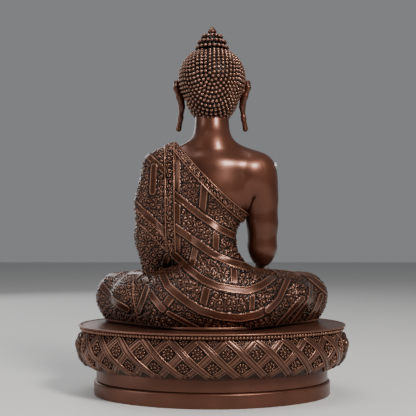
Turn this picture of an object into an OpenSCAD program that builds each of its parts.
// Seated copper statue on an oval seat, as an assembly of its castings, pins and fixings.
// The figure faces -Y, +Z is up, and the origin is on the floor at the middle of the base.

/* [Base] */
// Width of the oval seat tray
tray_w = 187.4; // [180:0.2:190]
// Depth of the oval seat tray
tray_d = 150; // [147:0.5:153]
// Distance of the end arcs' centres from the middle of the oval
end_centre = 30; // [28:0.5:32]
// Width of the lower plinth ring
foot_w = 165.4; // [160:0.2:168]
// Height of the lower plinth ring
foot_h = 10; // [9:0.5:12]
// Height of the upper plinth ring
step_h = 9; // [8:0.5:11]
// Height of the bulging band
band_h = 25.6; // [24:0.2:27]
// Width of the bulging band at its foot
band_foot_w = 170; // [168:0.5:172]
// Width of the bulging band at its top
band_top_w = 178; // [176:0.5:180]
// How far the band swells past a straight side
band_swell = 5; // [3:0.5:6]
// Wall of the hollow castings
wall = 3.2; // [2.8:0.1:4]
// Diameter of the beads under the tray's rim
bead_d = 2.4; // [2:0.1:2.6]
// Thickness of the tray
tray_t = 3.8; // [3.6:0.1:4.2]

/* [Figure] */
// Thickness of the lip that the figure stands on
lip_t = 2; // [1.5:0.1:2.5]
// Height of the shoulders above the floor
shoulder_z = 157; // [155:0.5:159]
// Distance of the shoulder joints from the middle
shoulder_x = 35.5; // [34:0.5:37]
// Height of the middle of the head above the floor
head_z = 212; // [210:0.5:214]
// Half of the width of the hair
hair_r = 23.6; // [23:0.1:24.2]

/* [Fixings] */
// Diameter of the studs that hold the figure to the tray
stud_d = 5; // [4:0.5:6]
// Spacing of the two studs
stud_gap = 44; // [40:1:50]
// Distance of the studs behind the middle
stud_y = 6; // [4:0.5:8]
// Diameter of the dowels in the neck and shoulder
dowel_d = 6; // [5:0.5:7]
// Diameter of the bottom plate's screws
screw_d = 3; // [2.5:0.5:4]
// Distance of the screws from the middle, to the sides
screw_x = 58; // [54:1:60]
// Distance of the screws from the middle, to the front and back
screw_y = 34; // [30:1:36]

/* [Hidden] */

step_z = foot_h;
band_z = foot_h + step_h;
tray_z = band_z + band_h;
seat_z = tray_z + tray_t;
lip_z = seat_z + lip_t;
rim_t = 1.2;
step_w = foot_w - 3.2;
plate_z = 0.6;
plate_t = 2;
foot_rim = 6;
foot_bevel = 2;
plate_w = foot_w - 2 * foot_rim - 0.2;
end_r = tray_w / 2 - end_centre;
side_r = (pow(end_centre, 2) + pow(tray_d / 2, 2) - pow(end_r, 2)) / (tray_d - 2 * end_r);
side_centre = side_r - tray_d / 2;
turn = atan2(side_centre, end_centre);
body_y = 23;
arm_r = 10.4;
lean = 45;
hang_z = 150;
hole_play = 0.4;
pin_play = 0.2;
thin = 0.02;
crown_z = head_z + 22;
tier_r = [11.4, 10, 7.4];
tier_h = [3.8, 3.8, 3.4];
dark = "saddlebrown";
bright = "peru";

// Radius of the bulging band at a share t of its height.
function band_r(t) =
    band_foot_w / 2 + (band_top_w - band_foot_w) / 2 * t + band_swell * sin(180 * t);

// The base's oval: two end arcs and two side arcs that meet smoothly.
module oval(half_w, fn = 96) {
    r = half_w - end_centre;
    for (side = [-1, 1])
        translate([side * end_centre, 0])
            circle(r, $fn = fn);
    intersection() {
        translate([0, -side_centre]) circle(r + side_r - end_r, $fn = fn);
        translate([0, side_centre]) circle(r + side_r - end_r, $fn = fn);
        square([2 * (end_centre + r * cos(turn)), 4 * half_w], center = true);
    }
}

// A flat plate of that oval.
module oval_plate(half_w, z, t, fn = 96) {
    translate([0, 0, z])
        linear_extrude(t)
            oval(half_w, fn);
}

// A ring of that oval with upright walls.
module oval_ring(outer, inner, z, t) {
    translate([0, 0, z])
        linear_extrude(t)
            difference() {
                oval(outer);
                oval(inner);
            }
}

// A solid that swells like the band, with its half width changed by g.
module swelling(g, z, h) {
    n = 6;
    hull()
        for (i = [0:n])
            oval_plate(band_r(i / n) + g, z + (h - thin) * i / n, thin, 64);
}

// A limb between two round ends.
module limb(a, ra, b, rb, fn = 20) {
    hull() {
        translate(a) sphere(ra, $fn = fn);
        translate(b) sphere(rb, $fn = fn);
    }
}

// A slim limb, such as a finger or a rim.
module rod(a, ra, b, rb) {
    limb(a, ra, b, rb, 12);
}

// A rounded mass with its own half width, half depth and half height.
module mass(centre, half, fn = 20) {
    hull()
        translate(centre)
            scale(half)
                sphere(1, $fn = fn);
}

// Places its children at both studs.
module at_studs() {
    for (side = [-1, 1])
        translate([side * stud_gap / 2, stud_y, 0])
            children();
}

// Places its children at the four screws of the bottom plate.
module at_screws() {
    for (sx = [-1, 1])
        for (sy = [-1, 1])
            translate([sx * screw_x, sy * screw_y, 0])
                children();
}

// ---- base ----

module plinth_foot() {
    color(dark) {
        oval_ring(foot_w / 2, foot_w / 2 - foot_rim, 0, foot_h - foot_bevel);
        oval_ring(foot_w / 2 - foot_bevel, foot_w / 2 - foot_rim, foot_h - foot_bevel, foot_bevel);
    }
}

module plinth_step() {
    color(dark)
        oval_ring(step_w / 2, step_w / 2 - wall - 1.4, step_z, step_h);
}

module cushion_band() {
    color(dark)
        difference() {
            swelling(0, band_z, band_h);
            translate([0, 0, wall])
                swelling(-wall, band_z, band_h);
            oval_plate(step_w / 2 - 8, band_z - 1, wall + 2);
        }
}

module bead_ring() {
    r = tray_w / 2 - 0.9;
    color(bright)
        oval_ring(r, r - bead_d, tray_z, bead_d);
}

module seat_tray() {
    color(dark)
        difference() {
            union() {
                oval_plate(tray_w / 2 - bead_d - 1, tray_z, tray_t);
                oval_plate(tray_w / 2, seat_z - rim_t, rim_t);
            }
            at_studs()
                translate([0, 0, tray_z - 1])
                    cylinder(d = stud_d + hole_play, h = tray_t + 2, $fn = 48);
        }
}

// The scroll at each end of the band: a leaf-backed curl around a boss.
module end_scroll() {
    x = band_r(0.55);
    render()
        difference() {
            union() {
                mass([x - 1, 0, band_z + 14.5], [4.2, 11, 12], 16);
                for (side = [-1, 1]) {
                    mass([x + 0.4, side * 7, band_z + 19], [3.6, 4.6, 4.6], 12);
                    mass([x - 0.6, side * 7.4, band_z + 9], [3.6, 4, 4], 12);
                }
                mass([x + 0.8, 0, band_z + 15], [3.6, 4.4, 5], 12);
                mass([x - 1.6, 0, band_z + 4.5], [3.6, 5, 3.6], 12);
                mass([x - 0.4, 0, band_z + 22.4], [3.6, 4.6, 3], 12);
            }
            swelling(thin, band_z, band_h);
        }
}

module left_end_scroll() {
    color(dark)
        end_scroll();
}

module right_end_scroll() {
    color(dark)
        mirror([1, 0, 0])
            end_scroll();
}

module bottom_plate() {
    color("dimgray")
        difference() {
            oval_plate(plate_w / 2, plate_z, plate_t);
            at_screws()
                translate([0, 0, -1])
                    cylinder(d = screw_d + hole_play, h = plate_t + 4, $fn = 48);
        }
}

module plate_screws() {
    color("silver")
        at_screws() {
            translate([0, 0, plate_z - 0.4])
                cylinder(d = screw_d * 1.9, h = 0.4, $fn = 48);
            translate([0, 0, plate_z])
                cylinder(d = screw_d, h = plate_t + 5, $fn = 48);
        }
}

// ---- fixing of the figure ----

module seat_lip() {
    color(dark)
        difference() {
            translate([0, 0, seat_z])
                linear_extrude(lip_t)
                    hull() {
                        translate([0, 32]) scale([1.5, 1]) circle(22, $fn = 48);
                        translate([58, -20]) circle(20, $fn = 32);
                        translate([-58, -20]) circle(20, $fn = 32);
                        translate([0, -34]) circle(25, $fn = 32);
                    }
            at_studs()
                translate([0, 0, seat_z - 1])
                    cylinder(d = stud_d + hole_play, h = lip_t + 2, $fn = 48);
        }
}

module figure_studs() {
    color("silver")
        at_studs()
            translate([0, 0, tray_z - 8])
                cylinder(d = stud_d, h = 8 + tray_t + lip_t + 10, $fn = 48);
}

module stud_washers() {
    color("silver")
        at_studs()
            translate([0, 0, tray_z - 1])
                difference() {
                    cylinder(d = stud_d * 2.2, h = 1, $fn = 48);
                    translate([0, 0, -1]) cylinder(d = stud_d + hole_play, h = 3, $fn = 48);
                }
}

module stud_nuts() {
    color("silver")
        at_studs()
            translate([0, 0, tray_z - 1 - stud_d * 0.8])
                difference() {
                    cylinder(d = stud_d * 1.9, h = stud_d * 0.8, $fn = 6);
                    translate([0, 0, -1]) cylinder(d = stud_d, h = stud_d + 2, $fn = 48);
                }
}

// ---- figure ----

// Thighs, knees and shins under the robe.
module legs_shape() {
    for (side = [-1, 1]) {
        limb([side * 20, 27, lip_z + 24], 26, [side * 66, -22, lip_z + 16.4], 16.4);
        limb([side * 66, -23, lip_z + 16], 15.8, [side * -14, -44, lip_z + 12.6], 11.6);
        limb([side * 24, 24, lip_z + 10], 26, [side * 60, -22, lip_z + 10], 19);
    }
    mass([0, -6, lip_z + 12], [58, 50, 18]);
    mass([0, 28, lip_z + 12], [38, 26.5, 26]);
}

// The trunk from the seat to the collar, grown by g on every side.
module trunk(g = 0) {
    hull() {
        translate([0, body_y + 5, 76]) scale([31 + g, 26 + g, 22 + g]) sphere(1, $fn = 24);
        translate([1, body_y + 1, 105]) scale([22 + g, 21 + g, 18 + g]) sphere(1, $fn = 24);
    }
    hull() {
        translate([1, body_y + 1, 105]) scale([22 + g, 21 + g, 18 + g]) sphere(1, $fn = 24);
        translate([0, body_y, 143]) scale([31 + g, 23 + g, 22 + g]) sphere(1, $fn = 24);
    }
    hull() {
        translate([0, body_y, 143]) scale([31 + g, 23 + g, 22 + g]) sphere(1, $fn = 24);
        for (side = [-1, 1])
            translate([side * 30, body_y + 1, shoulder_z + 1]) sphere(11 + g, $fn = 20);
        translate([0, body_y, 168]) scale([14 + g, 12 + g, 9 + g]) sphere(1, $fn = 24);
    }
    hull() {
        translate([0, body_y, 168]) scale([13 + g, 12 + g, 7 + g]) sphere(1, $fn = 24);
        translate([0, body_y - 4, 188]) scale([11.6 + g, 11 + g, 3]) sphere(1, $fn = 24);
    }
}

// Hollow inside the legs and the trunk, open at the bottom.
module figure_hollow() {
    hull() {
        translate([0, 6, lip_z - 2]) scale([50, 32, 1]) cylinder(r = 1, h = 4, $fn = 24);
        translate([0, 24, lip_z + 24]) scale([28, 19, 10]) sphere(1, $fn = 20);
    }
    for (side = [-1, 1])
        hull() {
            translate([side * 22, 26, lip_z + 14]) sphere(19, $fn = 14);
            translate([side * 60, -18, lip_z + 10]) sphere(10, $fn = 14);
        }
    hull() {
        translate([0, 24, lip_z + 20]) scale([20, 16, 10]) sphere(1, $fn = 20);
        translate([0, body_y, 138]) scale([16, 12, 12]) sphere(1, $fn = 20);
    }
}

// All that lies above the slanting edge of the robe, moved by d along the slant's normal.
module above_robe(d = 0) {
    translate([0, 0, hang_z])
        rotate([0, -lean, 0])
            translate([-150, -100, d])
                cube([300, 200, 200]);
}

// Blind holes for the studs in the figure's foot.
module studs_cut() {
    at_studs()
        translate([0, 0, seat_z])
            cylinder(d = stud_d + pin_play, h = lip_t + 10.4, $fn = 32);
}

module crossed_legs() {
    color(dark)
        render()
            difference() {
                legs_shape();
                translate([-150, -150, lip_z - 60]) cube([300, 300, 60]);
                figure_hollow();
                studs_cut();
            }
}

module robe_torso() {
    color(dark)
        render()
            difference() {
                trunk();
                legs_shape();
                above_robe();
                figure_hollow();
                translate([-150, -150, 0]) cube([300, 300, lip_z]);
            }
}

module bare_torso() {
    color("sienna")
        render()
            difference() {
                intersection() {
                    trunk();
                    above_robe(thin);
                }
                legs_shape();
                figure_hollow();
                arm_dowel_shape(dowel_d + pin_play);
                neck_dowel_shape(dowel_d + pin_play);
            }
}

module collar_border() {
    color(bright)
        render()
            difference() {
                intersection() {
                    trunk(1.6);
                    above_robe(-3.6);
                }
                above_robe(3.6);
                trunk(thin);
                legs_shape();
                left_arm_shape();
                right_arm_shape();
                flap_slab();
            }
}

// Upright slab that the shoulder flap is cut from.
module flap_slab() {
    translate([16, -60, 96]) cube([15, 140, 90]);
}

module shoulder_flap() {
    color(bright)
        render()
            difference() {
                intersection() {
                    trunk(2);
                    flap_slab();
                }
                trunk(thin);
                legs_shape();
                left_arm_shape();
                translate([0, -60, 90]) cube([40, 62, 60]);
            }
}

// Sleeve from the shoulder down to the elbow and along the forearm.
module left_arm_shape() {
    hull() {
        translate([37, body_y - 1, shoulder_z]) sphere(12, $fn = 20);
        translate([41, body_y - 5, 112]) sphere(12.4, $fn = 20);
        translate([24, body_y + 2, 120]) sphere(13, $fn = 20);
    }
    hull() {
        translate([41, body_y - 5, 112]) sphere(12.4, $fn = 20);
        translate([22, -16, 87]) sphere(8.6, $fn = 16);
        translate([40, 14, 88]) sphere(10, $fn = 14);
    }
}

module left_sleeve() {
    color(dark)
        render()
            difference() {
                left_arm_shape();
                trunk();
                legs_shape();
            }
}

// Palm, four fingers and thumb of a hand that lies palm up.
module left_hand_shape() {
    rod([21, -18, 85.4], 5.6, [9, -28, 81], 6.4);
    for (i = [0:3])
        rod([6 - i * 0.6, -22 - i * 4.4, 81], 2.5, [-14 + abs(i - 1.4) * 1.2, -25 - i * 3.6, 82.4], 2);
    rod([10, -36, 83], 2.8, [-3, -40, 86], 2.1);
}

module left_hand() {
    color("sienna")
        render()
            difference() {
                left_hand_shape();
                legs_shape();
                left_arm_shape();
            }
}

// Bare arm from the shoulder down to the wrist.
module right_arm_shape() {
    limb([-shoulder_x, body_y - 1, shoulder_z], arm_r, [-36, body_y - 5, 107], 9.6);
    limb([-36, body_y - 5, 107], 9.6, [-38, -30, 88], 6.2);
}

module right_arm() {
    color("sienna")
        render()
            difference() {
                right_arm_shape();
                trunk();
                legs_shape();
                arm_dowel_shape(dowel_d + pin_play);
            }
}

// Hand that reaches down over the shin.
module right_hand_shape() {
    rod([-38, -33, 88], 6, [-41, -52, 81], 6.6);
    for (i = [0:3])
        rod([-36.4 - i * 3.4, -57, 78], 2.5, [-37.6 - i * 3, -63 + abs(i - 1.4), 54 + abs(i - 1.4) * 2], 1.9);
    rod([-35, -50, 80], 2.8, [-30, -60, 66], 2.1);
}

module right_hand() {
    color("sienna")
        render()
            difference() {
                right_hand_shape();
                right_arm_shape();
                legs_shape();
            }
}

// Pin across the shoulder joint.
module arm_dowel_shape(d) {
    translate([-44, body_y, shoulder_z])
        rotate([0, 90, 0])
            cylinder(d = d, h = 26, $fn = 48);
}

module arm_dowel() {
    color("silver")
        arm_dowel_shape(dowel_d);
}

// Sole of a foot turned up on the opposite thigh.
module sole(side) {
    rod([side * 6, -36, 80], 6, [side * 34, -24, 84], 5.4);
    for (i = [0:4])
        rod([side * (36 + i * 0.3), -30 + i * 3.2, 84 - i * 0.4], 2, [side * 41, -30 + i * 3.2, 85 - i * 0.4], 1.7);
    rod([side * 2, -38, 76], 6, [side * 14, -34, 80], 6);
    rod([side * 20, -30, 80], 6, [side * 34, -24, 82], 5.4);
}

module right_foot() {
    color("sienna")
        render()
            difference() {
                translate([0, -2, -4]) sole(1);
                legs_shape();
                left_hand_shape();
                left_arm_shape();
            }
}

module left_foot() {
    color("sienna")
        render()
            difference() {
                translate([0, -6, -5]) sole(-1);
                legs_shape();
                left_hand_shape();
                right_arm_shape();
                right_hand_shape();
                translate([0, -2, -4]) sole(1);
            }
}

// ---- head ----

// Skull and jaw, grown by g on every side.
module skull(g = 0) {
    mass([0, 14, head_z + 3], [20.4 + g, 23 + g, 24.4 + g], 24);
    mass([0, 9, head_z - 10], [15.6 + g, 17 + g, 17.6 + g]);
}

module head() {
    color("sienna")
        render()
            difference() {
                union() {
                    skull();
                    mass([0, -8.4, head_z - 5], [3, 3.6, 6], 12);
                    mass([0, -7, head_z - 15], [6.4, 3, 2.4], 12);
                    for (side = [-1, 1])
                        mass([side * 8, -6, head_z], [5, 3, 2], 12);
                    limb([0, body_y - 8, 192], 9, [0, 12, 206], 10);
                    rod([-5, -5, 192], 3, [5, -5, 192], 3);
                }
                trunk();
                neck_dowel_shape(dowel_d + pin_play);
            }
}

// Pin up the middle of the neck.
module neck_dowel_shape(d) {
    translate([0, body_y - 4, 172])
        cylinder(d = d, h = 30, $fn = 48);
}

module neck_dowel() {
    color("silver")
        neck_dowel_shape(dowel_d);
}

module hair_cap() {
    color(dark)
        render()
            difference() {
                union() {
                    mass([0, 16, head_z + 4.5], [hair_r, 25.4, 26.4], 24);
                    mass([0, 20, head_z - 6], [21, 20, 19]);
                }
                skull(thin);
                trunk();
                translate([-40, -40, head_z - 40]) cube([80, 52, 48]);
                translate([0, 0, head_z - 24]) rotate([0, 90, 0]) cylinder(r = 10, h = 80, center = true, $fn = 24);
                ushnisha_socket();
                ear_shape(1);
                ear_shape(-1);
            }
}

// Space that the tiers' foot and its peg take out of the hair.
module ushnisha_socket() {
    translate([0, 16, crown_z])
        cylinder(r = 12, h = 20, $fn = 32);
    translate([0, 16, crown_z - 2])
        cylinder(r = 4 + pin_play / 2, h = 4, $fn = 32);
}

// Three beaded tiers, one above the other.
module ushnisha() {
    color(dark)
        translate([0, 16, crown_z])
            difference() {
                union() {
                    translate([0, 0, -2]) cylinder(r = 4, h = 4, $fn = 48);
                    cylinder(r1 = 11.9, r2 = 11, h = 4, $fn = 64);
                    translate([0, 0, 4]) cylinder(r = tier_r[0], h = tier_h[0], $fn = 64);
                    translate([0, 0, 4 + tier_h[0]]) cylinder(r = tier_r[1], h = tier_h[1], $fn = 64);
                    translate([0, 0, 15 - tier_h[2]]) cylinder(r = tier_r[2], h = tier_h[2], $fn = 64);
                    translate([0, 0, 15]) cylinder(r1 = 6, r2 = 3.4, h = 2, $fn = 64);
                }
                translate([0, 0, 10]) cylinder(r = 1.55, h = 9, $fn = 48);
            }
}

module finial() {
    color(bright)
        translate([0, 16, crown_z + 17])
            rotate_extrude($fn = 64)
                polygon([[0, -6], [1.5, -6], [1.5, 0], [3, 0], [3.5, 0.9], [3.3, 1.9],
                    [2.2, 3.1], [1, 4.1], [0, 4.7]]);
}

// Ear with a long lobe, slit for an ornament.
module ear_shape(side) {
    rod([side * 21.6, 12, head_z + 3.4], 3, [side * 23, 12, head_z - 3], 2.8);
    rod([side * 23, 12, head_z - 3], 2.8, [side * 20.2, 12, head_z - 12], 2);
    rod([side * 20.2, 12, head_z - 12], 2, [side * 21.4, 12, head_z - 26.6], 2.4);
    rod([side * 20.6, 9, head_z + 2], 2, [side * 19.6, 9, head_z - 10], 2);
    rod([side * 21.6, 15, head_z + 3.4], 2.4, [side * 20.4, 15, head_z - 12], 1.8);
    rod([side * 20.4, 10, head_z - 12], 1.6, [side * 21.4, 10, head_z - 26], 1.6);
    rod([side * 20.4, 15, head_z - 12], 1.6, [side * 21.4, 15, head_z - 26], 1.6);
    rod([side * 19, 12, head_z - 2], 2.4, [side * 18.6, 12, head_z - 6], 2.4);
}

module left_ear() {
    color("sienna")
        render()
            difference() {
                ear_shape(1);
                skull();
                trunk();
            }
}

module right_ear() {
    color("sienna")
        render()
            difference() {
                ear_shape(-1);
                skull();
                trunk();
            }
}

module forehead_dot() {
    color(bright)
        translate([0, -8.2, head_z + 5])
            rotate([90, 0, 0])
                cylinder(r1 = 1.4, r2 = 0.9, h = 1.4, $fn = 32);
}

plinth_foot();
plinth_step();
cushion_band();
bead_ring();
seat_tray();
left_end_scroll();
right_end_scroll();
bottom_plate();
plate_screws();
seat_lip();
figure_studs();
stud_washers();
stud_nuts();
crossed_legs();
robe_torso();
bare_torso();
collar_border();
shoulder_flap();
left_sleeve();
left_hand();
right_arm();
right_hand();
arm_dowel();
right_foot();
left_foot();
head();
neck_dowel();
hair_cap();
ushnisha();
finial();
left_ear();
right_ear();
forehead_dot();
